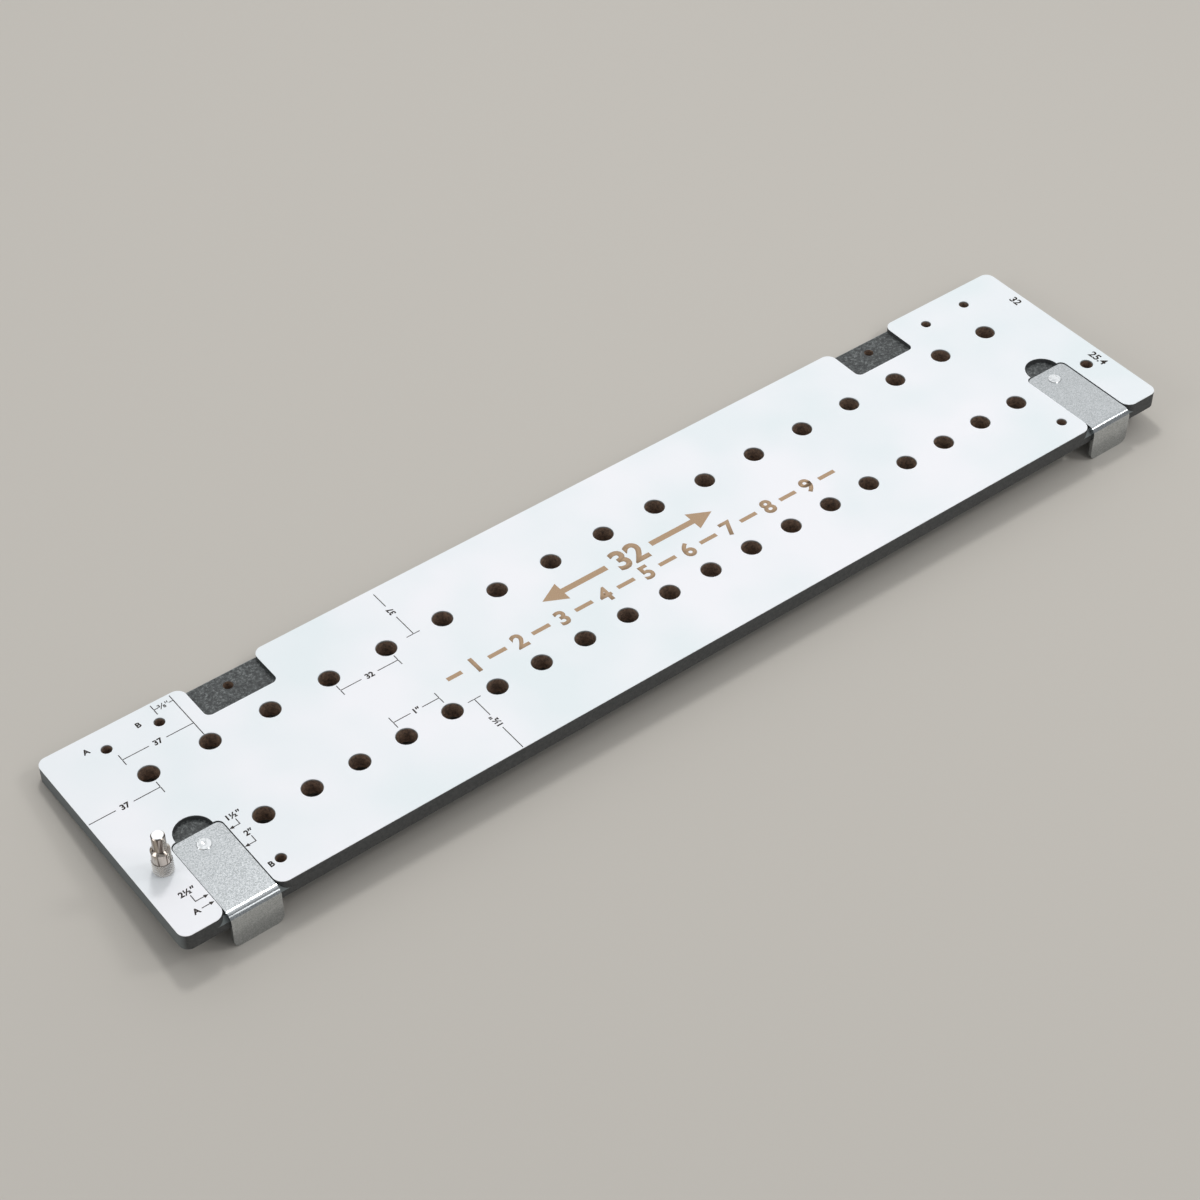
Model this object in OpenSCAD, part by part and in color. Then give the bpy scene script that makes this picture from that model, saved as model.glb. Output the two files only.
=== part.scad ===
/* [Board] */
// Length of the board
board_l = 586; // [560:1:640]
// Width of the board
board_w = 127; // [120:1:150]
// Thickness of the board with its white face
board_t = 9; // [8.5:0.1:12.5]
// Thickness of the white face layer
face_t = 0.25; // [0.2:0.05:0.8]
// Radius of the board's four corners
corner_r = 4.8; // [2:0.2:8]
// Edge break round the top of every hole that goes through the white face
edge_break = 0.25; // [0.1:0.05:0.5]

/* [Guide hole rows] */
// Diameter of every guide hole
guide_d = 10; // [8:0.1:11]
// Pitch of the metric row
metric_pitch = 32; // [28:1:36]
// Distance from each end of the board to the first metric hole
metric_end = 37; // [32:1:44]
// Set back of the metric row from the metric edge
metric_setback = 37; // [34:0.5:42]
// Pitch of the inch row
inch_pitch = 25.4; // [22:0.1:30]
// Set back of the inch row from the inch edge
inch_setback = 38.1; // [34:0.1:42]
// Least board between the last inch hole and a bracket slot
inch_clear = 6; // [3:0.5:9]

/* [Index and lettered holes] */
// Diameter of the index holes in line with the inch row
index_d = 6.5; // [6.4:0.01:6.6]
// Distance from each end to its index hole
index_from_end = 13.6; // [10:0.1:15]
// Diameter of the lettered holes
letter_d = 5; // [4:0.1:6]
// Distance of the lettered holes from the long edges
letter_from_edge = 12.7; // [10:0.1:15]
// Distance from each end to its A hole
a_from_end = 29.5; // [24:0.5:40]
// Distance from each end to its B holes
b_from_end = 57; // [56:0.5:62]

/* [Metric edge pockets] */
// Width of each pocket
pocket_w = 38.4; // [30:0.2:44]
// How far each pocket reaches in from the metric edge
pocket_in = 23.4; // [18:0.2:26]
// Depth of the pocket floor below the white face
pocket_depth = 2.5; // [1.5:0.1:4]
// Distance from each end to the middle of its pocket
pocket_from_end = 95; // [92:0.5:110]
// Radius of the inner corners
pocket_corner_r = 3.2; // [2:0.1:8]
// Radius of the rounded mouth
pocket_mouth_r = 5; // [2:0.5:6]
// Bevel along the outer edge of the pocket floor
pocket_bevel = 2.5; // [0.5:0.1:3]
// Diameter of the hole in the pocket floor
pocket_hole_d = 5; // [3:0.1:6]
// Distance of that hole from the metric edge
pocket_hole_in = 9.9; // [7:0.1:13]

/* [Bracket slots] */
// Distance from each end to the middle of its slot
slot_from_end = 35; // [33:0.1:36]
// Clearance on each side of the bracket's flange
slot_clear = 0.4; // [0.1:0.05:0.5]
// Clearance past the flange's inner end
slot_end_clear = 0.6; // [0.2:0.1:1.5]
// Depth of the slot floor below the white face
slot_depth = 2.5; // [2:0.1:3.5]
// Radius of the rounded mouth
slot_mouth_r = 5.5; // [2:0.5:6]
// How much larger the bevel along the slot floor's outer edge is than the bend inside it
bevel_clear = 0.5; // [0.2:0.1:0.8]
// Diameter of the finger relief at the slot's inner end
relief_d = 19; // [14:0.5:22]
// How far the middle of the relief lies past the flange's end
relief_past = 0.9; // [0:0.1:3]

/* [Fence brackets] */
// Width of the bent sheet
bracket_w = 25.4; // [22:0.1:27]
// Thickness of the sheet
bracket_t = 2; // [1.2:0.1:2]
// Inner radius of the bend
bend_r = 2; // [0.5:0.1:2]
// Length of the flange from the fence face to its inner end
flange_l = 47.5; // [44:0.5:50]
// Radius of the flange's two free corners
flange_corner_r = 3; // [1:0.5:6]
// How far the leg reaches below the board
leg_drop = 12; // [9.5:0.5:20]
// Radius of the leg's two free corners
leg_corner_r = 4; // [1:0.5:8]

/* [Locating studs] */
// Diameter of the stud's head, pressed into the flange
stud_head_d = 7.1; // [6:0.1:8]
// How far the head stands proud of the flange, which is also its chamfer
stud_proud = 0.3; // [0.1:0.1:0.6]
// Diameter of the centre mark turned in the head
stud_centre_d = 2.8; // [2:0.1:3.5]
// Diameter of the stud's pin
stud_pin_d = 3; // [2:0.1:4]
// How far short of the underside the stud's tip ends
stud_short = 0.5; // [0.2:0.1:3]
// Distance from the flange's inner end to the stud
stud_from_end = 7.5; // [6:0.5:9]
// Radial clearance of the pin in its station hole
stud_clear = 0.1; // [0.05:0.05:0.15]
// Outward shift of the bracket for the second set back
station_2 = 12.7; // [10:0.1:15]
// Outward shift of the bracket for the third set back
station_3 = 25.4; // [22:0.1:25.4]
// Outward shift of the bracket for the lettered set back
station_a = 30.2; // [30:0.1:33]

/* [Slot magnets] */
// Diameter of each disc magnet
magnet_d = 8; // [6:0.5:9]
// Thickness of each disc magnet
magnet_t = 3; // [2:0.5:4]
// Clearance round the magnet, and how deep its top lies below the slot floor
magnet_clear = 0.1; // [0.05:0.05:0.2]
// Distance of each magnet from the slot's middle line
magnet_side = 7.7; // [7.5:0.1:8]
// Distance of the magnets from the inch edge
magnet_in = 11.5; // [8:0.5:16]

/* [Index pin] */
// Diameter over the knurl of the grip
grip_d = 9.8; // [8.2:0.1:12]
// Height of the knurled grip
knurl_h = 7.4; // [6:0.2:12]
// How far the plain collar lies inside the knurl
collar_step = 0.45; // [0.2:0.05:0.6]
// Height of the plain collar over the grip
collar_h = 5.8; // [3:0.2:8]
// Diameter of both shanks
shank_d = 6.35; // [6:0.01:6.38]
// Length of the upper shank above the collar's cone
upper_l = 8.3; // [6:0.1:14]
// How far short of the underside the lower shank ends
shank_short = 0.5; // [0.2:0.1:3]
// Chamfer on the shanks' ends
pin_chamfer = 0.6; // [0.3:0.1:0.8]

/* [Hidden] */
$fn = 96;
over = 1;

left = -1;
right = 1;
sides = [left, right];
half_l = board_l / 2;
half_w = board_w / 2;
core_t = board_t - face_t;
metric_y = half_w - metric_setback;
inch_y = inch_setback - half_w;
slot_x = half_l - slot_from_end;
slot_w = bracket_w + 2 * slot_clear;
slot_in = flange_l + slot_end_clear;
slot_floor_z = board_t - slot_depth;
slot_bevel = bend_r + bevel_clear;
relief_y = flange_l + relief_past - half_w;
pocket_x = half_l - pocket_from_end;
pocket_floor_z = board_t - pocket_depth;
index_x = half_l - index_from_end;
letter_y = half_w - letter_from_edge;
magnet_y = magnet_in - half_w;
stud_from_fence = flange_l - stud_from_end;
stud_y = stud_from_fence - half_w;
stud_pin_l = slot_floor_z - stud_short;

metric_count = floor((board_l - 2 * metric_end) / metric_pitch + 0.001) + 1;
inch_reach = slot_x - slot_w / 2 - inch_clear - guide_d / 2;
inch_count = 2 * floor(inch_reach / inch_pitch) + 1;

metric_holes = [for (i = [0 : metric_count - 1])
    [(i - (metric_count - 1) / 2) * metric_pitch, metric_y]];
inch_holes = [for (i = [0 : inch_count - 1])
    [(i - (inch_count - 1) / 2) * inch_pitch, inch_y]];
guide_holes = concat(metric_holes, inch_holes);
index_holes = [for (side = sides) [side * index_x, inch_y]];
a_holes = [for (side = sides) [side * (half_l - a_from_end), letter_y]];
b_holes = [for (side = sides, edge = [-1, 1])
    [side * (half_l - b_from_end), edge * letter_y]];
letter_holes = concat(a_holes, b_holes);
pocket_holes = [for (side = sides) [side * pocket_x, half_w - pocket_hole_in]];
station_holes = [for (side = sides, shift = [0, station_2, station_3, station_a])
    [side * slot_x, stud_y - shift]];
magnet_seats = [for (side = sides, across = [-1, 1])
    [side * slot_x + across * magnet_side, magnet_y]];

// A rectangle about the origin with four round corners
module rounded_rectangle(length, width, radius) {
    square([length - 2 * radius, width], center = true);
    square([length, width - 2 * radius], center = true);
    for (x = [-1, 1], y = [-1, 1])
        translate([x * (length / 2 - radius), y * (width / 2 - radius)])
            circle(radius);
}

// The corner left between a square and the quarter circle inside it, tip at the origin
module corner_scrap(radius) {
    difference() {
        square(radius);
        translate([radius, radius]) circle(radius);
    }
}

// A cut that opens at y = 0 and runs in along +Y, with round inner corners and a round mouth
module edge_cut(width, reach, corner, mouth) {
    difference() {
        translate([-width / 2, -over]) square([width, reach + over]);
        for (m = [0, 1])
            mirror([m, 0])
                translate([width / 2, reach])
                    rotate(180)
                        corner_scrap(corner);
    }
    for (m = [0, 1])
        mirror([m, 0])
            translate([width / 2, 0]) {
                corner_scrap(mouth);
                translate([-over, -over]) square([mouth + over, over]);
            }
}

// Both metric edge pockets in plan
module pocket_outlines() {
    for (side = sides)
        translate([side * pocket_x, half_w])
            rotate(180)
                edge_cut(pocket_w, pocket_in, pocket_corner_r, pocket_mouth_r);
}

// Both bracket slots in plan, without their finger reliefs
module slot_outlines() {
    for (side = sides)
        translate([side * slot_x, -half_w])
            edge_cut(slot_w, slot_in, flange_corner_r + slot_clear, slot_mouth_r);
}

// Round finger reliefs at the slots' inner ends
module relief_outlines() {
    for (side = sides)
        translate([side * slot_x, relief_y])
            circle(d = relief_d);
}

// The wedge of a bevel along y = 0: it takes the edge off a floor at z = 0
module bevel_wedge(length, size) {
    translate([-length / 2, 0, 0])
        rotate([90, 0, 90])
            linear_extrude(length)
                polygon([[-over, -size - over], [-over, over], [size + over, over]]);
}

module drill(places, diameter, from, depth) {
    for (p = places)
        translate([p.x, p.y, from])
            cylinder(d = diameter, h = depth);
}

// Holes through the black board whose top rims are broken below the white face
module broken_holes(places, diameter) {
    drill(places, diameter, -over, core_t + 2 * over);
    for (p = places)
        translate([p.x, p.y, core_t - edge_break])
            cylinder(d1 = diameter, d2 = diameter + 2 * (edge_break + over), h = edge_break + over);
}

// Floors cut to a depth, with the bevel along their outer edge
module pocket_floors() {
    translate([0, 0, pocket_floor_z])
        linear_extrude(pocket_depth + over) pocket_outlines();
    intersection() {
        translate([0, 0, pocket_floor_z - pocket_bevel])
            linear_extrude(pocket_bevel + over) pocket_outlines();
        for (side = sides)
            translate([side * pocket_x, half_w, pocket_floor_z])
                rotate(180)
                    bevel_wedge(pocket_w + 3 * pocket_mouth_r, pocket_bevel);
    }
}

module slot_floors() {
    translate([0, 0, slot_floor_z])
        linear_extrude(slot_depth + over) {
            slot_outlines();
            relief_outlines();
        }
    intersection() {
        translate([0, 0, slot_floor_z - slot_bevel])
            linear_extrude(slot_bevel + over) slot_outlines();
        for (side = sides)
            translate([side * slot_x, -half_w, slot_floor_z])
                bevel_wedge(slot_w + 3 * slot_mouth_r, slot_bevel);
    }
}

module template_board() {
    color("#2b2f31")
        difference() {
            linear_extrude(core_t)
                rounded_rectangle(board_l, board_w, corner_r);
            pocket_floors();
            slot_floors();
            broken_holes(guide_holes, guide_d);
            broken_holes(index_holes, index_d);
            broken_holes(letter_holes, letter_d);
            drill(pocket_holes, pocket_hole_d, -over, board_t + 2 * over);
            drill(station_holes, stud_pin_d + 2 * stud_clear, -over, board_t + 2 * over);
            drill(magnet_seats, magnet_d + 2 * magnet_clear,
                slot_floor_z - magnet_t - magnet_clear, board_t);
        }
}

// Holes through the white face, as wide as the broken rims below them
module face_holes(places, diameter) {
    drill(places, diameter + 2 * edge_break, -over, face_t + 2 * over);
}

module white_face_sheet() {
    color("#e8eef2")
        translate([0, 0, core_t])
            difference() {
                linear_extrude(face_t)
                    difference() {
                        rounded_rectangle(board_l, board_w, corner_r);
                        pocket_outlines();
                        slot_outlines();
                        relief_outlines();
                    }
                face_holes(guide_holes, guide_d);
                face_holes(index_holes, index_d);
                face_holes(letter_holes, letter_d);
            }
}

// Section of the bent sheet: x runs in from the fence face, y up from the flange's underside
module bracket_section() {
    outer_r = bend_r + bracket_t;
    leg_h = slot_floor_z + leg_drop;
    translate([bend_r, 0]) square([flange_l - bend_r, bracket_t]);
    translate([-bracket_t, -leg_h]) square([bracket_t, leg_h - bend_r]);
    intersection() {
        translate([bend_r, -bend_r])
            difference() {
                circle(outer_r);
                circle(bend_r);
            }
        translate([-bracket_t, -bend_r]) square([outer_r, outer_r]);
    }
}

module fence_bracket(side) {
    color("#c5cacb")
        translate([side * slot_x, -half_w, slot_floor_z])
            difference() {
                translate([-bracket_w / 2, 0, 0])
                    rotate([90, 0, 90])
                        linear_extrude(bracket_w)
                            bracket_section();
                for (m = [0, 1])
                    mirror([m, 0, 0]) {
                        translate([bracket_w / 2, flange_l, -over])
                            rotate(180)
                                linear_extrude(bracket_t + 2 * over)
                                    corner_scrap(flange_corner_r);
                        translate([bracket_w / 2, over, -slot_floor_z - leg_drop])
                            rotate([90, 0, 0])
                                linear_extrude(bracket_t + 2 * over)
                                    mirror([1, 0])
                                        corner_scrap(leg_corner_r);
                    }
                translate([0, stud_from_fence, -over])
                    cylinder(d = stud_head_d, h = bracket_t + 2 * over);
            }
}

// Turned stud: its head fills the flange's hole, its pin drops into a station hole
module locating_stud(side) {
    tip_chamfer = 0.5;
    head_r = stud_head_d / 2;
    pin_r = stud_pin_d / 2;
    centre_r = stud_centre_d / 2;
    head_z = bracket_t + stud_proud;
    color("#dfe3e4")
        translate([side * slot_x, stud_y, slot_floor_z])
            rotate_extrude()
                polygon([[0, -stud_pin_l], [pin_r - tip_chamfer, -stud_pin_l],
                    [pin_r, tip_chamfer - stud_pin_l], [pin_r, 0], [head_r, 0],
                    [head_r, bracket_t], [head_r - stud_proud, head_z],
                    [centre_r, head_z], [0, bracket_t]]);
}

// Disc magnet let into the slot floor, across = -1 or 1 of the slot's middle line
module slot_magnet(side, across) {
    chamfer = 0.3;
    magnet_r = magnet_d / 2;
    color("#b9bdc0")
        translate([side * slot_x + across * magnet_side, magnet_y,
            slot_floor_z - magnet_t - magnet_clear])
            rotate_extrude()
                polygon([[0, 0], [magnet_r - chamfer, 0], [magnet_r, chamfer],
                    [magnet_r, magnet_t - chamfer], [magnet_r - chamfer, magnet_t],
                    [0, magnet_t]]);
}

// Turned pin: lower shank, knurled grip, plain collar with its cone, and upper shank
module index_pin() {
    foot_chamfer = 0.2;
    grip_r = grip_d / 2;
    collar_r = grip_r - collar_step;
    shank_r = shank_d / 2;
    collar_z = knurl_h + collar_h;
    cone_z = collar_z + collar_r - shank_r;
    top_z = cone_z + upper_l;
    low_z = shank_short - board_t;
    color("#c9b9a8")
        translate([left * index_x, inch_y, board_t])
            rotate_extrude()
                polygon([[0, low_z], [shank_r - pin_chamfer, low_z],
                    [shank_r, low_z + pin_chamfer], [shank_r, 0],
                    [grip_r - foot_chamfer, 0], [grip_r, foot_chamfer],
                    [grip_r, knurl_h - collar_step], [collar_r, knurl_h],
                    [collar_r, collar_z], [shank_r, cone_z],
                    [shank_r, top_z - pin_chamfer], [shank_r - pin_chamfer, top_z],
                    [0, top_z]]);
}

template_board();
white_face_sheet();
fence_bracket(left);  // left_fence_bracket
locating_stud(left);  // left_locating_stud
slot_magnet(left, left);  // left_slot_outer_magnet
slot_magnet(left, right);  // left_slot_inner_magnet
fence_bracket(right);  // right_fence_bracket
locating_stud(right);  // right_locating_stud
slot_magnet(right, right);  // right_slot_outer_magnet
slot_magnet(right, left);  // right_slot_inner_magnet
index_pin();
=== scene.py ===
"""Looks of the shelf pin drilling template, built round its packed construction.

Every length below is in millimetres in the part's own frame, and `mm` turns it to metres.
"""

import logging
import math
from dataclasses import dataclass, field
from enum import Enum

import bpy
from mathutils import Matrix, Vector

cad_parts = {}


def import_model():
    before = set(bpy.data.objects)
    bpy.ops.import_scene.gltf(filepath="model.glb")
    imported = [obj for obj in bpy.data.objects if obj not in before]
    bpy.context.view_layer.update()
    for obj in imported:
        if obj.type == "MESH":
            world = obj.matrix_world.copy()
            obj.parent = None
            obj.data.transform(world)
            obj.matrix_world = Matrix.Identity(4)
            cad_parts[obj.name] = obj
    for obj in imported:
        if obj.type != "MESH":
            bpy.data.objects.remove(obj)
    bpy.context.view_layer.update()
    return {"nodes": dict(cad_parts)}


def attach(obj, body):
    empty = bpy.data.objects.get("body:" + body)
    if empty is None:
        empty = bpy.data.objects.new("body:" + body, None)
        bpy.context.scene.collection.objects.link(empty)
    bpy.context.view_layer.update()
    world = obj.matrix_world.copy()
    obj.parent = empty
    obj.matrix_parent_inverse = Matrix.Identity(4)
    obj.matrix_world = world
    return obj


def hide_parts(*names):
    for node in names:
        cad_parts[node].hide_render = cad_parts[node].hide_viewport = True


LOG = logging.getLogger("template")
MM = 0.001
Point = tuple[float, float]
Socket = bpy.types.NodeSocket
Tree = bpy.types.NodeTree


def mm(*values: float) -> Vector:
    """Turns lengths in millimetres to a vector in metres.

    Args:
        values: the lengths, one for each axis.

    Returns:
        The same lengths in metres.
    """
    return Vector([value * MM for value in values])


def linear(hex_colour: str) -> tuple[float, float, float, float]:
    """Turns an sRGB hex colour to the linear values that Blender's sockets hold.

    Args:
        hex_colour: the colour as "#RRGGBB".

    Returns:
        Linear red, green and blue, and an alpha of 1.
    """
    channels = []
    for start in (1, 3, 5):
        value = int(hex_colour[start : start + 2], 16) / 255
        channels.append(value / 12.92 if value <= 0.04045 else ((value + 0.055) / 1.055) ** 2.4)
    return (channels[0], channels[1], channels[2], 1.0)


def add_node(tree: Tree, kind: str, links: dict | None = None, **settings) -> bpy.types.Node:
    """Adds one shader node with its settings and its links.

    Args:
        tree: the material's node tree.
        kind: the node's type name.
        links: input name or number to the output socket or the constant that feeds it.
        settings: the node's own properties.

    Returns:
        The new node.
    """
    node = tree.nodes.new(kind)
    for name, value in settings.items():
        setattr(node, name, value)
    for name, source in (links or {}).items():
        if isinstance(source, Socket):
            tree.links.new(source, node.inputs[name])
        else:
            node.inputs[name].default_value = source
    return node


def ramp(tree: Tree, factor: Socket, *stops: tuple[float, str]) -> Socket:
    """Adds a colour ramp between hex colours.

    Args:
        tree: the material's node tree.
        factor: the socket that drives the ramp.
        stops: position and hex colour of each stop, in order.

    Returns:
        The ramp's colour output.
    """
    node = add_node(tree, "ShaderNodeValToRGB", {"Fac": factor})
    elements = node.color_ramp.elements
    while len(elements) < len(stops):
        elements.new(0.5)
    for element, (position, colour) in zip(elements, stops):
        element.position = position
        element.color = linear(colour)
    return node.outputs["Color"]


def noise(tree: Tree, place: Socket, grain_mm: float, **inputs: float) -> Socket:
    """Adds a noise whose grain has a real size.

    Args:
        tree: the material's node tree.
        place: the coordinates in metres.
        grain_mm: the size of one grain in millimetres.
        inputs: further inputs of the noise, such as Detail.

    Returns:
        The noise's value.
    """
    links = {"Vector": place, "Scale": 1 / (grain_mm * MM), **inputs}
    return add_node(tree, "ShaderNodeTexNoise", links).outputs["Fac"]


def stretch(tree: Tree, place: Socket, *scale: float) -> Socket:
    """Draws a pattern out along an axis whose scale is below 1.

    Args:
        tree: the material's node tree.
        place: the coordinates in metres.
        scale: the scale along each axis.

    Returns:
        The scaled coordinates.
    """
    return add_node(tree, "ShaderNodeMapping", {"Vector": place, "Scale": scale}).outputs["Vector"]


def spread(tree: Tree, value: Socket, low: float, high: float) -> Socket:
    """Spreads a value between 0 and 1 over another range.

    Args:
        tree: the material's node tree.
        value: the value.
        low: what 0 becomes.
        high: what 1 becomes.

    Returns:
        The new value.
    """
    links = {"Value": value, "To Min": low, "To Max": high}
    return add_node(tree, "ShaderNodeMapRange", links).outputs["Result"]


def between(tree: Tree, value: Socket, low: float, high: float) -> Socket:
    """Tests whether a coordinate lies inside a band.

    Args:
        tree: the material's node tree.
        value: the coordinate.
        low: the band's lower end.
        high: the band's upper end.

    Returns:
        1 inside the band and 0 outside.
    """
    above = add_node(tree, "ShaderNodeMath", {0: value, 1: low}, operation="GREATER_THAN")
    below = add_node(tree, "ShaderNodeMath", {0: value, 1: high}, operation="LESS_THAN")
    both = {0: above.outputs[0], 1: below.outputs[0]}
    return add_node(tree, "ShaderNodeMath", both, operation="MULTIPLY").outputs[0]


def mixed(tree: Tree, mask: Socket, outside: Socket, inside: Socket | tuple) -> Socket:
    """Mixes two colours by a mask.

    Args:
        tree: the material's node tree.
        mask: 0 where the first colour shows and 1 where the second does.
        outside: the first colour.
        inside: the second colour, as a socket or as linear values.

    Returns:
        The mixed colour.
    """
    links = {"Factor": mask, 6: outside, 7: inside}
    return add_node(tree, "ShaderNodeMix", links, data_type="RGBA").outputs[2]


def bump(tree: Tree, height: Socket, depth_mm: float, strength: float) -> Socket:
    """Adds a bump of a real depth.

    Args:
        tree: the material's node tree.
        height: the height's socket.
        depth_mm: the depth between a height of 0 and of 1, in millimetres.
        strength: how much of the bump shows.

    Returns:
        The bump's normal.
    """
    links = {"Height": height, "Distance": depth_mm * MM, "Strength": strength}
    return add_node(tree, "ShaderNodeBump", links).outputs["Normal"]


class Finish:
    """A finish of the real object, made as one procedural material."""

    name: str

    def paint(self, tree: Tree, shader: bpy.types.Node, place: Socket) -> None:
        """Sets the shader of one finish.

        Args:
            tree: the material's node tree.
            shader: the principled shader to set.
            place: the object coordinates, in metres.
        """
        raise NotImplementedError

    def material(self) -> bpy.types.Material:
        """Builds the material, or gives the one that was built before.

        Returns:
            The finish's material.
        """
        made = bpy.data.materials.get(self.name)
        if made:
            return made
        made = bpy.data.materials.new(self.name)
        made.use_nodes = True
        tree = made.node_tree
        tree.nodes.clear()
        place = add_node(tree, "ShaderNodeTexCoord").outputs["Object"]
        shader = add_node(tree, "ShaderNodeBsdfPrincipled")
        self.paint(tree, shader, place)
        add_node(tree, "ShaderNodeOutputMaterial", {"Surface": shader.outputs["BSDF"]})
        return made


@dataclass(frozen=True)
class WhiteLaminate(Finish):
    """White face layer of a compact laminate, pressed against a fine matt plate."""

    name: str = "white_pressed_laminate"
    base: str = "#F1F1F4"
    cool: str = "#E5ECEE"
    cloud_mm: float = 60.0
    texture_mm: float = 0.5
    texture_depth_mm: float = 0.01
    texture_strength: float = 0.35
    rough: float = 0.5
    ior: float = 1.45

    def paint(self, tree: Tree, shader: bpy.types.Node, place: Socket) -> None:
        """Sets a faintly clouded cool white with a very fine pressed grain."""
        clouds = noise(tree, place, self.cloud_mm, Detail=2.0)
        colour = ramp(tree, clouds, (0.35, self.cool), (0.65, self.base))
        tree.links.new(colour, shader.inputs["Base Color"])
        grain = noise(tree, place, self.texture_mm, Detail=3.0)
        pressed = bump(tree, grain, self.texture_depth_mm, self.texture_strength)
        tree.links.new(pressed, shader.inputs["Normal"])
        shader.inputs["Roughness"].default_value = self.rough
        shader.inputs["IOR"].default_value = self.ior


@dataclass(frozen=True)
class BlackBoard(Finish):
    """Solid black phenolic board: satin and speckled where a cutter went; its bevels carry a painted
    highlight, its walls and ends a painted sheen and its holes painted warm light.
    """

    name: str = "black_machined_phenolic"
    dark: str = "#1B1D1E"
    light: str = "#454848"
    fibre: str = "#858988"
    # painted warm light: the hole walls take the brown of lit wood seen through the holes
    burnt_dark: str = "#5F534B"
    burnt_light: str = "#B0917A"
    # painted highlight on the sloped faces of bevels and chamfers
    edge: str = "#7C8282"
    # painted sheen: upright walls are painted lighter than the top, floors and underside
    milled_dark: str = "#3A3B3B"
    milled_light: str = "#555656"
    # painted sheen on the board's ends, paler than the other walls
    sawn: str = "#6C7172"
    mark_mm: float = 0.9
    mark_depth_mm: float = 0.08
    mark_strength: float = 0.6
    speck_mm: float = 1.5
    rough: Point = (0.5, 0.75)
    ior: float = 1.5
    specular: float = 0.45
    rows: tuple[Point, ...] = ((32.0, 26.5), (25.4, -25.4))
    row_r: float = 5.4
    row_reach: float = 286.0
    small_holes: tuple[Point, ...] = ((263.5, 50.8), (236.0, 50.8), (236.0, -50.8), (198.0, 53.6))
    small_r: float = 2.9
    steep: float = 0.5
    edge_rise: Point = (0.55, 0.9)
    end_x: Point = (287.0, 294.0)
    end_turn: Point = (0.6, 0.97)

    def paint(self, tree: Tree, shader: bpy.types.Node, place: Socket) -> None:
        """Sets a blue black with specks of cut fibre and cutter marks, plus painted light: a highlight on
        sloped faces, a sheen on upright walls and paler ends, and warm brown on the hole walls.
        """
        normal = add_node(tree, "ShaderNodeTexCoord").outputs["Normal"]
        rise = add_node(tree, "ShaderNodeSeparateXYZ", {"Vector": normal}).outputs["Z"]
        specks = noise(tree, place, self.speck_mm, Detail=6.0, Roughness=0.8)
        cut = ramp(tree, specks, (0.36, self.dark), (0.52, self.light), (0.68, self.fibre))
        # painted warm light for the hole walls
        burnt = ramp(tree, specks, (0.4, self.burnt_dark), (0.65, self.burnt_light))
        # painted sheen for the upright walls
        wall_sheen = ramp(tree, specks, (0.35, self.milled_dark), (0.65, self.milled_light))
        wall = between(tree, rise, -self.steep, self.steep)
        colour = mixed(tree, wall, cut, wall_sheen)
        colour = mixed(tree, self.in_a_hole(tree, place, wall), colour, burnt)
        # painted sheen on the ends
        colour = mixed(tree, self.on_an_end(tree, place, normal), colour, linear(self.sawn))
        # painted highlight on the sloped faces
        colour = mixed(tree, between(tree, rise, *self.edge_rise), colour, linear(self.edge))
        tree.links.new(colour, shader.inputs["Base Color"])
        marks = noise(tree, stretch(tree, place, 0.12, 1.0, 1.0), self.mark_mm, Detail=3.0)
        cuts = bump(tree, marks, self.mark_depth_mm, self.mark_strength)
        tree.links.new(cuts, shader.inputs["Normal"])
        tree.links.new(spread(tree, specks, *self.rough), shader.inputs["Roughness"])
        shader.inputs["IOR"].default_value = self.ior
        shader.inputs["Specular IOR Level"].default_value = self.specular

    def on_an_end(self, tree: Tree, place: Socket, normal: Socket) -> Socket:
        """Finds the board's ends, which get a painted sheen paler than its other upright walls.

        Args:
            tree: the material's node tree.
            place: the object coordinates, in metres.
            normal: the surface's normal.

        Returns:
            1 on an end, falling to 0 round its corners.
        """
        sizes = []
        for vector in (place, normal):
            across = add_node(tree, "ShaderNodeSeparateXYZ", {"Vector": vector}).outputs["X"]
            size = add_node(tree, "ShaderNodeMath", {0: across}, operation="ABSOLUTE").outputs[0]
            sizes.append(size)
        low, high = self.end_x
        least, most = self.end_turn
        span = {"Value": sizes[1], "From Min": least, "From Max": most}
        faces_out = add_node(tree, "ShaderNodeMapRange", span).outputs["Result"]
        return self.joined(tree, "MULTIPLY", between(tree, sizes[0], low * MM, high * MM), faces_out)

    def in_a_hole(self, tree: Tree, place: Socket, wall: Socket) -> Socket:
        """Finds the walls of the drilled holes by their places and their upright walls.

        Args:
            tree: the material's node tree.
            place: the object coordinates, in metres.
            wall: 1 where the surface is upright.

        Returns:
            1 on a hole's wall and 0 elsewhere.
        """
        across, along, _ = add_node(tree, "ShaderNodeSeparateXYZ", {"Vector": place}).outputs
        mirrored = add_node(tree, "ShaderNodeMath", {0: across}, operation="ABSOLUTE").outputs[0]
        masks = [self.near(tree, mirrored, along, hole, self.small_r) for hole in self.small_holes]
        for pitch, y in self.rows:
            links = {0: across, 1: pitch / 2 * MM, 2: -pitch / 2 * MM}
            wrapped = add_node(tree, "ShaderNodeMath", links, operation="WRAP").outputs[0]
            masks.append(self.near(tree, wrapped, along, (0.0, y), self.row_r))
        found = masks[0]
        for mask in masks[1:]:
            found = self.joined(tree, "MAXIMUM", found, mask)
        on_board = between(tree, mirrored, -MM, self.row_reach * MM)
        return self.joined(tree, "MULTIPLY", self.joined(tree, "MULTIPLY", found, wall), on_board)

    def joined(self, tree: Tree, operation: str, first: Socket, second: Socket) -> Socket:
        """Joins two masks with one operation."""
        return add_node(tree, "ShaderNodeMath", {0: first, 1: second}, operation=operation).outputs[0]

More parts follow.
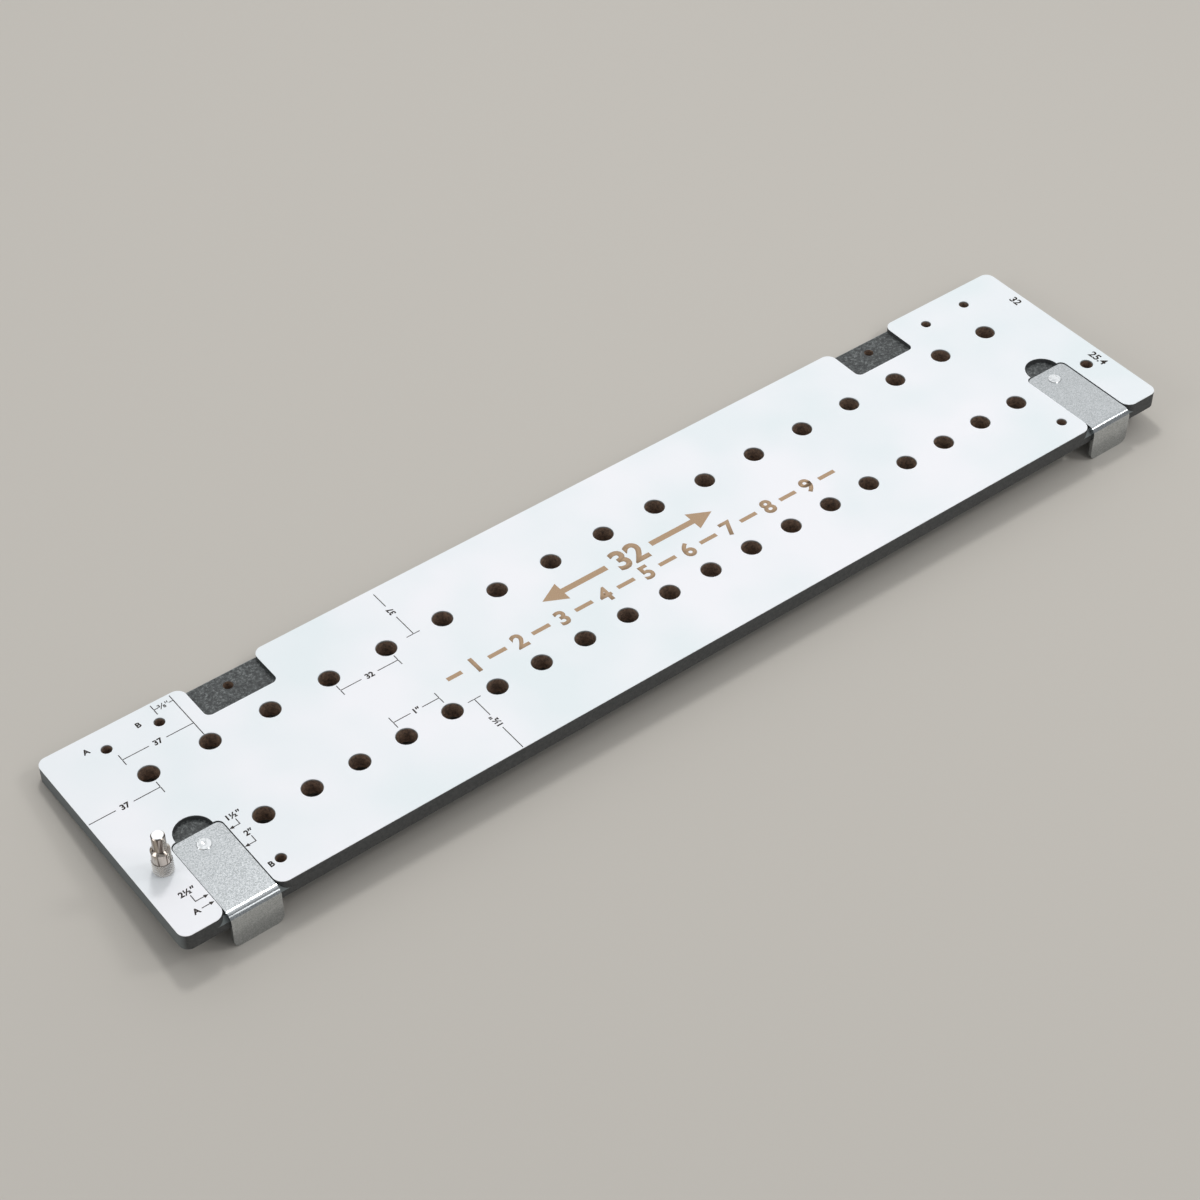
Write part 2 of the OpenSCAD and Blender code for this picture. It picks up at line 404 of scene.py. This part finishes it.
    def near(self, tree: Tree, across: Socket, along: Socket, centre: Point, radius: float) -> Socket:
        """Tests whether a point lies by a hole.

        Args:
            tree: the material's node tree.
            across: the point's x, in metres.
            along: the point's y, in metres.
            centre: the hole's centre.
            radius: how far from the centre the wall may lie.

        Returns:
            1 by the hole and 0 elsewhere.
        """
        flat = add_node(tree, "ShaderNodeCombineXYZ", {"X": across, "Y": along}).outputs["Vector"]
        links = {0: flat, 1: mm(*centre, 0.0)}
        gap = add_node(tree, "ShaderNodeVectorMath", links, operation="DISTANCE").outputs["Value"]
        return add_node(tree, "ShaderNodeMath", {0: gap, 1: radius * MM}, operation="LESS_THAN").outputs[0]


@dataclass(frozen=True)
class SatinSteel(Finish):
    """Cold rolled sheet steel with a satin zinc finish that sparkles in fine grains."""

    name: str = "satin_zinc_plated_steel"
    dark: str = "#A9ADAE"
    light: str = "#CCCFD1"
    sparkle_mm: float = 0.4
    streak_mm: float = 0.4
    streak_depth_mm: float = 0.005
    streak_strength: float = 0.1
    rough: Point = (0.13, 0.19)

    def paint(self, tree: Tree, shader: bpy.types.Node, place: Socket) -> None:
        """Sets a pale metal whose colour, roughness and bump change from grain to grain."""
        links = {"Vector": place, "Scale": 1 / (self.sparkle_mm * MM)}
        grains = add_node(tree, "ShaderNodeTexVoronoi", links).outputs["Color"]
        single = add_node(tree, "ShaderNodeSeparateColor", {"Color": grains}).outputs["Red"]
        colour = ramp(tree, single, (0.0, self.dark), (1.0, self.light))
        tree.links.new(colour, shader.inputs["Base Color"])
        tree.links.new(spread(tree, single, *self.rough), shader.inputs["Roughness"])
        fine = noise(tree, place, self.streak_mm, Detail=4.0)
        streaks = bump(tree, fine, self.streak_depth_mm, self.streak_strength)
        tree.links.new(streaks, shader.inputs["Normal"])
        shader.inputs["Metallic"].default_value = 1.0


@dataclass(frozen=True)
class TurnedSteel(Finish):
    """Turned and polished steel, with the faint rings that a lathe tool leaves."""

    name: str = "turned_polished_steel"
    base: str = "#E4E6E7"
    stain: str = "#C9CCCD"
    ring_mm: float = 0.25
    ring_depth_mm: float = 0.01
    ring_strength: float = 0.4
    stain_mm: float = 1.2
    rough: float = 0.1
    rough_span: float = 0.1

    def paint(self, tree: Tree, shader: bpy.types.Node, place: Socket) -> None:
        """Sets a bright metal with fine rings round its upright axis and darker streaks along it, which on
        the index pin are painted dark reflections.
        """
        rings = noise(tree, stretch(tree, place, 0.02, 0.02, 1.0), self.ring_mm, Detail=2.0)
        turned_rings = bump(tree, rings, self.ring_depth_mm, self.ring_strength)
        tree.links.new(turned_rings, shader.inputs["Normal"])
        roughness = spread(tree, rings, self.rough, self.rough + self.rough_span)
        tree.links.new(roughness, shader.inputs["Roughness"])
        tree.links.new(self.colour(tree, place), shader.inputs["Base Color"])
        shader.inputs["Metallic"].default_value = 1.0

    def colour(self, tree: Tree, place: Socket) -> Socket:
        """Gives the metal's colour, darker in streaks along its axis; on the index pin these streaks are
        painted dark reflections.

        Args:
            tree: the material's node tree.
            place: the object coordinates, in metres.

        Returns:
            The colour.
        """
        stain_and_reflection_noise = noise(tree, stretch(tree, place, 1.0, 1.0, 0.06), self.stain_mm, Detail=1.0)
        return ramp(tree, stain_and_reflection_noise, (0.36, self.stain), (0.5, self.base))


@dataclass(frozen=True)
class HandledSteel(TurnedSteel):
    """Steel of the index pin, with painted light: highlights on the knurl's crests and end face, shade in
    its grooves, dark streaks of reflection and a warm tint that partly paints warm reflections.
    """

    name: str = "knurled_steel_painted_light"
    # painted reflection: the warm base partly paints warm surroundings mirrored in the pin, and the dark
    # streaks paint dark ones
    base: str = "#C9BFB5"
    stain: str = "#6A5F57"
    rough: float = 0.12
    # painted shade in the knurl's grooves and painted highlight on its flanks and crests
    groove: str = "#6A6058"
    flank: str = "#F2EDE6"
    crest: str = "#FFFFFF"
    axis: Point = (-279.4, -25.4)
    knurl_z: Point = (9.0, 16.4)
    knurl_r: Point = (4.55, 4.9)
    # painted highlight: the pin's end face is painted pure white
    end_z: float = 31.775
    end_slack: float = 0.1

    def colour(self, tree: Tree, place: Socket) -> Socket:
        """Adds a painted white highlight on the end face, and by their distance from the axis a painted
        highlight on the knurl's crests and painted shade in its grooves.
        """
        across, along, height = add_node(tree, "ShaderNodeSeparateXYZ", {"Vector": place}).outputs
        flat = add_node(tree, "ShaderNodeCombineXYZ", {"X": across, "Y": along}).outputs["Vector"]
        links = {0: flat, 1: mm(*self.axis, 0.0)}
        reach = add_node(tree, "ShaderNodeVectorMath", links, operation="DISTANCE").outputs["Value"]
        low, high = self.knurl_r
        span = {"Value": reach, "From Min": low * MM, "From Max": high * MM}
        depth = add_node(tree, "ShaderNodeMapRange", span).outputs["Result"]
        knurl = ramp(tree, depth, (0.05, self.groove), (0.3, self.flank), (0.7, self.crest))
        bottom, top = self.knurl_z
        on_grip = between(tree, height, bottom * MM, top * MM)
        colour = mixed(tree, on_grip, super().colour(tree, place), knurl)
        # painted white highlight on the end face
        end_low, end_high = self.end_z - self.end_slack, self.end_z + self.end_slack
        painted_end_highlight = between(tree, height, end_low * MM, end_high * MM)
        return mixed(tree, painted_end_highlight, colour, linear(self.crest))


@dataclass(frozen=True)
class LaserMark(Finish):
    """Laser marked print: the white layer burnt to a matt brown or tan."""

    name: str = "laser_marked_brown"
    base: str = "#1F1713"
    mottle: str = "#342921"
    dot_mm: float = 0.3
    dot_depth_mm: float = 0.02
    dot_strength: float = 0.5
    rough: float = 0.8

    def paint(self, tree: Tree, shader: bpy.types.Node, place: Socket) -> None:
        """Sets a matt brown, mottled where the beam burnt deeper."""
        dots = noise(tree, place, self.dot_mm, Detail=2.0)
        colour = ramp(tree, dots, (0.35, self.base), (0.7, self.mottle))
        tree.links.new(colour, shader.inputs["Base Color"])
        burnt = bump(tree, dots, self.dot_depth_mm, self.dot_strength)
        tree.links.new(burnt, shader.inputs["Normal"])
        shader.inputs["Roughness"].default_value = self.rough


class Reading(Enum):
    """The way a number is read on the face, as its turn in degrees."""

    ACROSS = 0.0
    UPWARDS = 90.0
    DOWNWARDS = -90.0


def deselect() -> None:
    """Leaves edit mode and clears the selection."""
    if bpy.context.object and bpy.context.object.mode != "OBJECT":
        bpy.ops.object.mode_set(mode="OBJECT")
    bpy.ops.object.select_all(action="DESELECT")


def settle(piece: bpy.types.Object, name: str, finish: Finish, body: str) -> bpy.types.Object:
    """Puts a finished piece's place in its mesh, paints it and hangs it on its body.

    Args:
        piece: the finished mesh object.
        name: the name that the piece gets.
        finish: its finish.
        body: the body that it rides on.

    Returns:
        The same piece.
    """
    deselect()
    bpy.context.view_layer.objects.active = piece
    piece.select_set(True)
    bpy.ops.object.transform_apply(location=True, rotation=True, scale=True)
    piece.name = name
    piece.data.name = name
    piece.data.materials.clear()
    piece.data.materials.append(finish.material())
    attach(piece, body)
    LOG.info("%s: %d faces, rides on %s", name, len(piece.data.polygons), body)
    return piece


def join(pieces: list[bpy.types.Object]) -> bpy.types.Object:
    """Joins meshes to one object.

    Args:
        pieces: the meshes.

    Returns:
        The joined object.
    """
    deselect()
    for piece in pieces:
        piece.select_set(True)
    bpy.context.view_layer.objects.active = pieces[0]
    if len(pieces) > 1:
        bpy.ops.object.join()
    return pieces[0]


def paint_node(node: bpy.types.Object, finish: Finish) -> None:
    """Gives a node of the construction its finish.

    Args:
        node: the node's object.
        finish: the finish.
    """
    node.data.materials.clear()
    node.data.materials.append(finish.material())
    LOG.info("%s: painted %s", node.name, finish.name)


def turned(offset: Point, degrees: float) -> Vector:
    """Turns a flat offset about the upright axis.

    Args:
        offset: the offset in x and y.
        degrees: the turn, anticlockwise seen from above.

    Returns:
        The turned offset, with z at 0.
    """
    return Matrix.Rotation(math.radians(degrees), 3, "Z") @ Vector((*offset, 0.0))


@dataclass
class FacePrint:
    """Marks of one colour: laid out flat on the white face, then raised to a film of ink."""

    name: str
    finish: Finish
    stroke: float = 0.45
    bold: float = 0.16
    cap: float = 3.0
    head_l: float = 2.2
    head_w: float = 2.0
    leader_drop: float = 2.5
    corner_gap: float = 0.01
    face_z: float = 9.0
    film: float = 0.03
    cap_share: float = 0.682
    curve_steps: int = 4
    merge: float = 0.001
    shapes: list[bpy.types.Object] = field(default_factory=list)

    def keep(self, turn: float, scale: Point = (1.0, 1.0)) -> None:
        """Turns and scales the shape that was just added, and keeps it for the film.

        Args:
            turn: its turn in degrees.
            scale: its size along and across.
        """
        shape = bpy.context.object
        shape.rotation_euler.z = math.radians(turn)
        shape.scale = (*scale, 1.0)
        self.shapes.append(shape)

    def line(self, start: Point, end: Point, width: float = 0.0) -> None:
        """Draws a straight line.

        Args:
            start: one end.
            end: the other end.
            width: its width, or 0 for the print's own stroke.
        """
        run = Vector(end) - Vector(start)
        middle = (Vector(end) + Vector(start)) / 2
        deselect()
        bpy.ops.mesh.primitive_plane_add(size=MM, location=mm(*middle, self.face_z))
        self.keep(math.degrees(math.atan2(run.y, run.x)), (run.length, width or self.stroke))

    def arrow(self, tip: Point, heading: float, length: float, width: float) -> None:
        """Draws a filled arrow head.

        Args:
            tip: its point.
            heading: the way it points, in degrees from +X.
            length: its length.
            width: its width at the back.
        """
        centre = Vector((*tip, self.face_z)) - turned((length * 2 / 3, 0.0), heading)
        deselect()
        bpy.ops.mesh.primitive_circle_add(vertices=3, radius=MM, fill_type="NGON", location=mm(*centre))
        self.keep(heading - 90.0, (width / math.sqrt(3.0), length / 1.5))

    def number(
        self, text: str, centre: Point, cap: float, reading: Reading = Reading.ACROSS, bold: float = 0.0
    ) -> None:
        """Writes a plain number or a single index letter.

        Args:
            text: what to write.
            centre: the middle of its capital height and of its width.
            cap: its capital height.
            reading: the way it is read.
            bold: how far its strokes grow on each side.
        """
        foot = Vector((*centre, self.face_z)) + turned((0.0, -cap / 2), reading.value)
        deselect()
        bpy.ops.object.text_add(location=mm(*foot), rotation=(0, 0, math.radians(reading.value)))
        letters = bpy.context.object.data
        letters.body = text
        letters.size = cap / self.cap_share * MM
        letters.align_x = "CENTER"
        letters.offset = bold * MM
        letters.resolution_u = self.curve_steps
        bpy.ops.object.convert(target="MESH")
        self.keep(reading.value)

    def dimension(
        self,
        start: Point,
        end: Point,
        text: str,
        at: float,
        gap: float,
        ticks: tuple[Point, ...],
        bold: float | None = None,
    ) -> None:
        """Draws a dimension line with its end ticks and its number in a gap.

        Args:
            start: where the line starts.
            end: where it ends.
            text: the number.
            at: how far along the line the number's middle lies.
            gap: the length of the gap for the number.
            ticks: for each end, how far its tick reaches to the left and right of the line.
            bold: how far the number's strokes grow, or None for the print's own.
        """
        run = Vector(end) - Vector(start)
        along = run.normalized()
        side = Vector((-along.y, along.x))
        middle = Vector(start) + along * at
        self.line(start, middle - along * gap / 2)
        self.line(middle + along * gap / 2, end)
        edge = self.stroke / 2
        for point, (left, right) in zip((Vector(start), Vector(end)), ticks):
            if left or right:
                self.line(point + side * left, point + side * edge)
                self.line(point - side * edge, point - side * right)
        reading = Reading.ACROSS if abs(along.x) > abs(along.y) else Reading.UPWARDS
        self.number(text, middle, self.cap, reading, self.bold if bold is None else bold)

    def pointer(self, text: str, centre: Point, elbow: Point, tip: Point) -> None:
        """Draws a number, a leader round one elbow, and an arrow head at its tip.

        The leader's two lines keep a hair apart at the elbow's outer corner, so the film stays closed.

        Args:
            text: the number or letter.
            centre: the middle of the text.
            elbow: where the leader turns, or where it starts if it is straight.
            tip: the arrow's point.
        """
        way = math.copysign(1.0, tip[0] - elbow[0])
        edge = self.stroke / 2
        self.number(text, centre, self.cap, bold=self.bold)
        if elbow[1] != centre[1]:
            self.line((elbow[0], centre[1] - self.leader_drop), (elbow[0], elbow[1] + edge))
        start = (elbow[0] - way * (edge + self.corner_gap), elbow[1])
        self.line(start, (tip[0] - way * self.head_l, tip[1]))
        self.arrow(tip, 90.0 - way * 90.0, self.head_l, self.head_w)

    def lay(self, body: str) -> None:
        """Joins the shapes and raises them to one closed film on the face.

        Args:
            body: the body that the film rides on.
        """
        deselect()
        for shape in self.shapes:
            shape.select_set(True)
        bpy.context.view_layer.objects.active = self.shapes[0]
        bpy.ops.object.transform_apply(location=True, rotation=True, scale=True)
        film = join(self.shapes)
        bpy.ops.object.mode_set(mode="EDIT")
        bpy.ops.mesh.select_all(action="SELECT")
        bpy.ops.mesh.remove_doubles(threshold=self.merge * MM)
        bpy.ops.mesh.extrude_region_move(TRANSFORM_OT_translate={"value": mm(0, 0, self.film)})
        bpy.ops.mesh.select_all(action="SELECT")
        bpy.ops.mesh.normals_make_consistent(inside=False)
        bpy.ops.object.mode_set(mode="OBJECT")
        settle(film, self.name, self.finish, body)


@dataclass
class Template:
    """The board with its white face and the marks on it."""

    nodes: dict[str, bpy.types.Object]
    board_l: float = 586.0
    board_w: float = 127.0
    metric_pitch: float = 32.0
    metric_y: float = 26.5
    inch_pitch: float = 25.4
    inch_y: float = -25.4
    slot_right: float = -245.0
    slot_left: float = -271.4

    def dress(self) -> None:
        """Paints the board and its face, and prints the marks."""
        paint_node(self.nodes["template_board"], BlackBoard())
        paint_node(self.nodes["white_face_sheet"], WhiteLaminate())
        self.dimensions()
        self.set_backs()
        self.hole_numbers()

    def metric_x(self, number: int) -> float:
        """Gives the x of a metric hole, counted from 1 at the left end."""
        return (number - 9) * self.metric_pitch

    def inch_x(self, number: int) -> float:
        """Gives the x of an inch hole, counted from 1 at the left end."""
        return (number - 10) * self.inch_pitch

    def dimensions(self) -> None:
        """Prints the dimension lines, their plain numbers and the hole letters."""
        ink = FacePrint("dimension_marks", LaserMark())
        first, second = self.metric_x(1), self.metric_x(2)
        end_x = -self.board_l / 2
        far_y, near_y = self.board_w / 2, -self.board_w / 2
        ink.dimension((-261.2, 40.8), (second, 40.8), "37", 18.3, 9.0, ((3.6, 3.6), (0, 0)))
        ink.dimension((-234.2, 58.7), (second, 58.7), "⅜″", 5.0, 5.6, ((3.4, 3.4), (0, 0)), bold=0.05)
        ink.line((second, far_y - 1.2), (second, self.metric_y + 5.2))
        ink.dimension((end_x + 0.7, 16.4), (first, 16.4), "37", 18.1, 9.0, ((0, 0), (3.8, 3.8)))
        ink.dimension(
            (self.metric_x(4), 16.8), (self.metric_x(5), 16.8), "32", 16.0, 9.0, ((3.6, 3.4), (3.6, 3.4))
        )
        ink.dimension(
            (-112.5, self.metric_y), (-112.5, far_y - 3.5), "37", 18.7, 9.0, ((4.0, 3.5), (0, 0))
        )
        fourth, fifth = self.inch_x(4), self.inch_x(5)
        ink.dimension((fourth, -14.8), (fifth, -14.8), "1″", 12.7, 6.4, ((3.8, 3.8), (3.8, 3.8)))
        near_end = (-114.8, near_y + 0.6)
        ink.dimension(near_end, (-114.8, self.inch_y), "1½″", 20.3, 9.6, ((0, 0), (3.6, 3.6)))
        for letter, centre in (("A", (-271.7, 55.0)), ("B", (-244.7, 55.0)), ("B", (-241.2, -51.3))):
            ink.number(letter, centre, ink.cap, bold=ink.bold)
        for pitch, y in (("32", 36.0), ("25.4", -25.6)):
            ink.number(pitch, (287.7, y), 4.4, Reading.DOWNWARDS, ink.bold)
        ink.lay("template")

    def set_backs(self) -> None:
        """Prints the arrows that name each place of the left bracket's inner end."""
        ink = FacePrint("set_back_marks", LaserMark())
        ink.pointer("1½″", (-239.5, -17.3), (-239.6, -23.4), (self.slot_right, -23.4))
        ink.pointer("2″", (-239.2, -29.8), (-239.3, -36.1), (self.slot_right, -36.1))
        ink.pointer("2½″", (-278.1, -42.3), (-277.9, -49.0), (self.slot_left, -49.0))
        ink.pointer("A", (-280.4, -53.8), (-277.5, -53.8), (self.slot_left, -53.8))
        ink.lay("template")

    def hole_numbers(self) -> None:
        """Prints the tan hole numbers between the rows and the pitch above them."""
        tan = FacePrint("tan_hole_numbers", LaserMark("laser_marked_tan", "#A5876A", "#BDA182"))
        row_y, cap, dash, clear = -7.8, 9.0, 2.4, 7.6
        for number in range(1, 10):
            x = (number - 5) * self.inch_pitch
            tan.number(str(number), (x, row_y), cap, bold=0.45)
            tan.line((x + clear, row_y), (x + self.inch_pitch - clear, row_y), dash)
        tan.line((-117.5, row_y), (-109.2, row_y), dash)
        pitch_y, pitch_cap, shaft, head = 6.6, 12.6, 3.4, 12.0
        tan.number("32", (0, pitch_y), pitch_cap, bold=0.6)
        for side, heading in ((-1, 180.0), (1, 0.0)):
            tan.line((side * 13.5, pitch_y), (side * 40.0, pitch_y), shaft)
            tan.arrow((side * 52.0, pitch_y), heading, head, pitch_cap)
        tan.lay("template")


@dataclass
class FenceBracket:
    """One bent sheet bracket with its stud."""

    nodes: dict[str, bpy.types.Object]
    side: str

    def dress(self) -> None:
        """Paints the bracket, its stud and the slot's magnets."""
        paint_node(self.nodes[f"{self.side}_fence_bracket"], SatinSteel())
        paint_node(self.nodes[f"{self.side}_locating_stud"], TurnedSteel())
        for place in ("outer", "inner"):
            paint_node(self.nodes[f"{self.side}_slot_{place}_magnet"], TurnedSteel())


@dataclass
class IndexPin:
    """Turned index pin with a diamond knurl cut in its grip, in the left index hole."""

    axis: Point = (-279.4, -25.4)
    foot_z: float = 0.5
    face_z: float = 9.0
    shank_r: float = 3.175
    chamfer: float = 0.6
    grip_r: float = 4.9
    grip_foot: float = 0.2
    knurl_h: float = 7.4
    collar_r: float = 4.45
    collar_h: float = 5.8
    upper_l: float = 8.3
    diamonds: int = 26
    rows: int = 12
    knurl_depth: float = 0.32
    facets: int = 96
    tuck: float = 0.1
    slack: float = 0.1
    smooth_deg: float = 25.0

    def build(self) -> None:
        """Turns the pin, knurls its grip and puts it in the place of the plain node."""
        body = self.turn(self.profile(), self.facets)
        bpy.ops.object.shade_smooth_by_angle(angle=math.radians(self.smooth_deg))
        pin = join([body, self.knurl()])
        settle(pin, "knurled_index_pin", HandledSteel(), "template")
        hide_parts("index_pin")

    def profile(self) -> list[Point]:
        """Gives the turned shape without its knurl, whose core is tucked in behind it.

        Returns:
            Radius and height of each ring, from the foot up.
        """
        tuck = self.tuck
        grip_top = self.face_z + self.knurl_h
        collar_top = grip_top + self.collar_h
        cone_top = collar_top + self.collar_r - self.shank_r
        top = cone_top + self.upper_l
        return [
            (self.shank_r - self.chamfer, self.foot_z),
            (self.shank_r, self.foot_z + self.chamfer),
            (self.shank_r, self.face_z + tuck),
            (self.collar_r - tuck, self.face_z + tuck),
            (self.collar_r - tuck, grip_top - tuck),
            (self.collar_r, grip_top - tuck),
            (self.collar_r, collar_top),
            (self.shank_r, cone_top),
            (self.shank_r, top - self.chamfer),
            (self.shank_r - self.chamfer, top),
        ]

    def turn(self, profile: list[Point], facets: int) -> bpy.types.Object:
        """Raises a closed round solid from a disc, ring by ring.

        Args:
            profile: radius and height of each ring, from the foot up.
            facets: how many sides the rings have.

        Returns:
            The solid.
        """
        radius, height = profile[0]
        deselect()
        bpy.ops.mesh.primitive_circle_add(
            vertices=facets, radius=radius * MM, fill_type="NGON", location=mm(*self.axis, height)
        )
        bpy.ops.object.mode_set(mode="EDIT")
        bpy.ops.mesh.select_all(action="SELECT")
        for next_radius, next_height in profile[1:]:
            rise = {"value": mm(0, 0, next_height - height)}
            bpy.ops.mesh.extrude_region_move(TRANSFORM_OT_translate=rise)
            grow = next_radius / radius
            centre = mm(*self.axis, next_height)
            bpy.ops.transform.resize(value=(grow, grow, 1.0), center_override=centre)
            radius, height = next_radius, next_height
        bpy.ops.mesh.select_all(action="SELECT")
        bpy.ops.mesh.normals_make_consistent(inside=False)
        bpy.ops.object.mode_set(mode="OBJECT")
        return bpy.context.object

    def knurl(self) -> bpy.types.Object:
        """Turns the grip and sinks every other point, which leaves diamonds between crossed grooves.

        Returns:
            The knurled grip.
        """
        low = self.face_z + self.grip_foot
        high = self.face_z + self.knurl_h - (self.grip_r - self.collar_r)
        step = (high - low) / self.rows
        rings = [(self.grip_r, low + step * row) for row in range(self.rows + 1)]
        profile = [(self.collar_r, self.face_z), *rings, (self.collar_r, self.face_z + self.knurl_h)]
        grip = self.turn(profile, 2 * self.diamonds)
        centre = mm(*self.axis, 0)
        bpy.ops.object.mode_set(mode="EDIT")
        bpy.ops.mesh.select_all(action="DESELECT")
        bpy.ops.object.mode_set(mode="OBJECT")
        for vertex in grip.data.vertices:
            place = grip.matrix_world @ vertex.co - centre
            row = round((place.z / MM - low) / step)
            column = round(math.atan2(place.y, place.x) * self.diamonds / math.pi)
            on_knurl = low - self.slack < place.z / MM < high + self.slack
            vertex.select = on_knurl and (row + column) % 2 == 1
        sunk = 1 - self.knurl_depth / self.grip_r
        bpy.ops.object.mode_set(mode="EDIT")
        bpy.ops.transform.resize(value=(sunk, sunk, 1.0), center_override=centre)
        bpy.ops.mesh.select_all(action="SELECT")
        bpy.ops.mesh.quads_convert_to_tris(quad_method="SHORTEST_DIAGONAL")
        bpy.ops.object.mode_set(mode="OBJECT")
        return grip


@dataclass
class Studio:
    """Floor, lights and camera."""

    camera_at: tuple[float, float, float] = (-576.58, -721.49, 883.84)
    look: tuple[float, float, float] = (0.43630, 0.56811, -0.69778)
    image_right: tuple[float, float, float] = (0.79130, -0.61141, -0.00301)
    lens: float = 79.14
    sensor: float = 36.0
    floor_low: float = -12.0
    floor_y: Point = (-65.5, 63.5)
    floor_colour: str = "#C1BCB4"
    sky_aim: tuple[float, float, float] = (0.45, 0.50, 0.74)
    sky: tuple[tuple[float, str], ...] = (
        (0.0, "#949698"), (0.5, "#8A8C8E"), (0.8, "#E2E4E6"), (1.0, "#FAFBFC")
    )
    sky_strength: float = 1.10
    floor_size: float = 8.0
    floor_rough: float = 0.9
    light_distance: float = 1700.0
    clip: Point = (0.05, 30.0)

    def build(self) -> None:
        """Makes the floor, the lights and the camera."""
        self.floor()
        self.lights()
        self.camera()

    def floor(self) -> None:
        """Lays a pale floor, sloped so that it touches the fence legs and the board's far edge."""
        deselect()
        slope = math.atan2(-self.floor_low, self.floor_y[1] - self.floor_y[0])
        at = mm(0, self.floor_y[1], 0)
        bpy.ops.mesh.primitive_plane_add(size=self.floor_size, location=at, rotation=(slope, 0, 0))
        floor = bpy.context.object
        floor.name = "floor"
        pale = bpy.data.materials.new("pale_studio_floor")
        pale.use_nodes = True
        shader = pale.node_tree.nodes["Principled BSDF"]
        shader.inputs["Base Color"].default_value = linear(self.floor_colour)
        shader.inputs["Roughness"].default_value = self.floor_rough
        floor.data.materials.append(pale)

    def lights(self) -> None:
        """Hangs soft lights and a sky that is brightest high behind the board."""
        for name, aim, size, power in (
            ("key", (0.175, 0.35, 0.92), 0.25, 7.2),
            ("side", (0.60, -0.40, 0.69), 0.35, 4.2),
            ("front", (0.26, -0.71, 0.655), 0.5, 2.0),
            ("rim", (-0.85, 0.1, 0.5), 0.7, 3.5),
        ):
            place = Vector(aim).normalized() * self.light_distance
            bpy.ops.object.light_add(type="AREA", location=mm(*place))
            light = bpy.context.object
            light.name = name
            light.data.size = size
            light.data.energy = power
            light.rotation_mode = "QUATERNION"
            light.rotation_quaternion = (-place).to_track_quat("-Z", "Y")
        world = bpy.data.worlds.new("studio")
        world.use_nodes = True
        tree = world.node_tree
        way = add_node(tree, "ShaderNodeTexCoord").outputs["Generated"]
        aim = {0: way, 1: Vector(self.sky_aim).normalized()}
        near = add_node(tree, "ShaderNodeVectorMath", aim, operation="DOT_PRODUCT").outputs["Value"]
        colour = ramp(tree, near, *self.sky)
        back = tree.nodes["Background"]
        tree.links.new(colour, back.inputs["Color"])
        back.inputs["Strength"].default_value = self.sky_strength
        bpy.context.scene.world = world
        bpy.context.scene.view_settings.view_transform = "Standard"

    def camera(self) -> None:
        """Sets the camera at the photograph's place and angle."""
        bpy.ops.object.camera_add(location=mm(*self.camera_at))
        camera = bpy.context.object
        camera.name = "photo_camera"
        forward = Vector(self.look).normalized()
        right = Vector(self.image_right)
        right = (right - forward * right.dot(forward)).normalized()
        axes = Matrix((right, right.cross(forward), -forward)).transposed()
        camera.rotation_mode = "QUATERNION"
        camera.rotation_quaternion = axes.to_quaternion()
        camera.data.lens = self.lens
        camera.data.sensor_width = self.sensor
        camera.data.clip_start, camera.data.clip_end = self.clip
        bpy.context.scene.camera = camera


def main() -> None:
    """Builds the looks round the construction, in order."""
    logging.basicConfig(level=logging.INFO, format="%(message)s")
    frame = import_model()
    nodes = frame["nodes"]
    Studio().build()
    Template(nodes).dress()
    for side in ("left", "right"):
        FenceBracket(nodes, side).dress()
    IndexPin().build()
    deselect()


if __name__ == "__main__":
    main()
